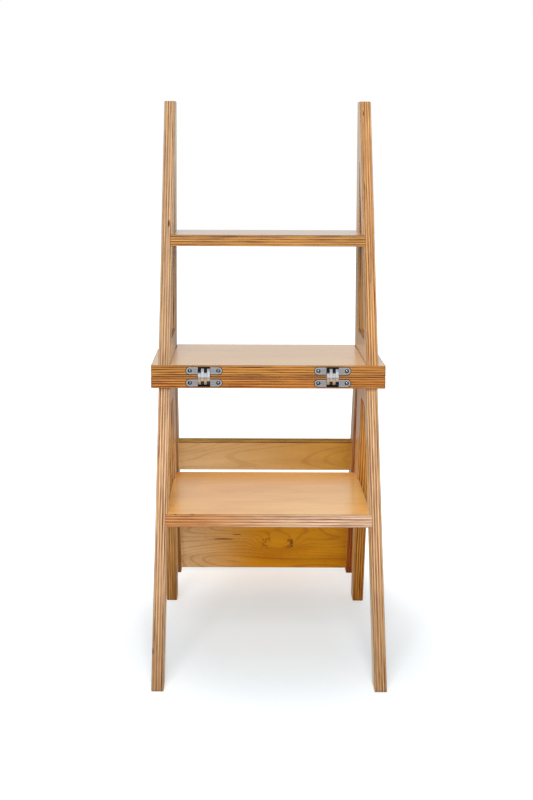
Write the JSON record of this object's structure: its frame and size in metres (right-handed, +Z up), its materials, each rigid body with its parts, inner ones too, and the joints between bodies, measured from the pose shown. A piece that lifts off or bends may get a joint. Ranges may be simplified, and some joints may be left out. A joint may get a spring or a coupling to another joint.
{
  "type": "folding step stool chair",
  "caption": "Plywood step ladder whose rear half folds over its front half on concealed hinges to make a chair with a slatted back.",
  "frame": {"origin": "on the floor, under the middle of the whole in its ladder form", "axes": "+Z up, +Y to the back of the ladder, +X to the right of someone who faces its front"},
  "size_m": [0.38, 0.5258, 0.9],
  "materials": {
    "side_panel": "clear matt lacquer on birch plywood",
    "seat_board": "clear satin lacquer on birch plywood",
    "step": "clear satin lacquer on birch plywood",
    "back_slat": "clear satin lacquer on figured birch plywood",
    "hinge_leaf": "satin zinc",
    "hinge_links": "bright zinc",
    "screw": "zinc-plated steel",
    "dowel": "bare beech"
  },
  "bodies": {
    "front_half": {"lower_seat_board": "seat_board", "lower_left_side": "side_panel", "lower_right_side": "side_panel", "lower_step": "step", "left_lower_hinge_leaf": "hinge_leaf", "left_lower_hinge_screw_left": "screw", "left_lower_hinge_screw_right": "screw", "left_lower_dowel_front": "dowel", "left_lower_dowel_rear": "dowel", "lower_step_screw_left_front": "screw", "lower_step_screw_left_rear": "screw", "right_lower_hinge_leaf": "hinge_leaf", "right_lower_hinge_screw_left": "screw", "right_lower_hinge_screw_right": "screw", "right_lower_dowel_front": "dowel", "right_lower_dowel_rear": "dowel", "lower_step_screw_right_front": "screw", "lower_step_screw_right_rear": "screw"},
    "rear_half": {"upper_seat_board": "seat_board", "upper_left_side": "side_panel", "upper_right_side": "side_panel", "upper_step": "step", "upper_back_slat": "back_slat", "lower_back_slat": "back_slat", "left_upper_hinge_leaf": "hinge_leaf", "left_upper_hinge_screw_left": "screw", "left_upper_hinge_screw_right": "screw", "left_upper_dowel_front": "dowel", "left_upper_dowel_rear": "dowel", "upper_step_screw_left_front": "screw", "upper_step_screw_left_rear": "screw", "slat_screw_left_upper_slat_lower": "screw", "slat_screw_left_upper_slat_upper": "screw", "slat_screw_left_lower_slat_lower": "screw", "slat_screw_left_lower_slat_upper": "screw", "right_upper_hinge_leaf": "hinge_leaf", "right_upper_hinge_screw_left": "screw", "right_upper_hinge_screw_right": "screw", "right_upper_dowel_front": "dowel", "right_upper_dowel_rear": "dowel", "upper_step_screw_right_front": "screw", "upper_step_screw_right_rear": "screw", "slat_screw_right_upper_slat_lower": "screw", "slat_screw_right_upper_slat_upper": "screw", "slat_screw_right_lower_slat_lower": "screw", "slat_screw_right_lower_slat_upper": "screw"},
    "left_lower_links": {"left_lower_links": "hinge_links"},
    "left_upper_links": {"left_upper_links": "hinge_links"},
    "right_lower_links": {"right_lower_links": "hinge_links"},
    "right_upper_links": {"right_upper_links": "hinge_links"}
  },
  "joints": [
    {"name": "seat_fold", "type": "hinge", "parent": "front_half", "child": "rear_half", "pos_m": [0, -0.10604, 0.45], "axis": [1, 0, 0], "range_deg": [0, 180]},
    {"name": "left_lower_link_turn", "type": "hinge", "parent": "front_half", "child": "left_lower_links", "pos_m": [-0.104, -0.10298, 0.44409], "axis": [1, 0, 0], "range_deg": [0, 109.8]},
    {"name": "left_upper_link_turn", "type": "hinge", "parent": "rear_half", "child": "left_upper_links", "pos_m": [-0.104, -0.10298, 0.45591], "axis": [1, 0, 0], "range_deg": [-109.8, 0]},
    {"name": "right_lower_link_turn", "type": "hinge", "parent": "front_half", "child": "right_lower_links", "pos_m": [0.104, -0.10298, 0.44409], "axis": [1, 0, 0], "range_deg": [0, 109.8]},
    {"name": "right_upper_link_turn", "type": "hinge", "parent": "rear_half", "child": "right_upper_links", "pos_m": [0.104, -0.10298, 0.45591], "axis": [1, 0, 0], "range_deg": [-109.8, 0]}
  ],
  "couplings": [
    {"joint": "left_lower_link_turn", "follows": "seat_fold", "ratio": 0.61},
    {"joint": "left_upper_link_turn", "follows": "seat_fold", "ratio": -0.61},
    {"joint": "right_lower_link_turn", "follows": "seat_fold", "ratio": 0.61},
    {"joint": "right_upper_link_turn", "follows": "seat_fold", "ratio": -0.61}
  ]
}
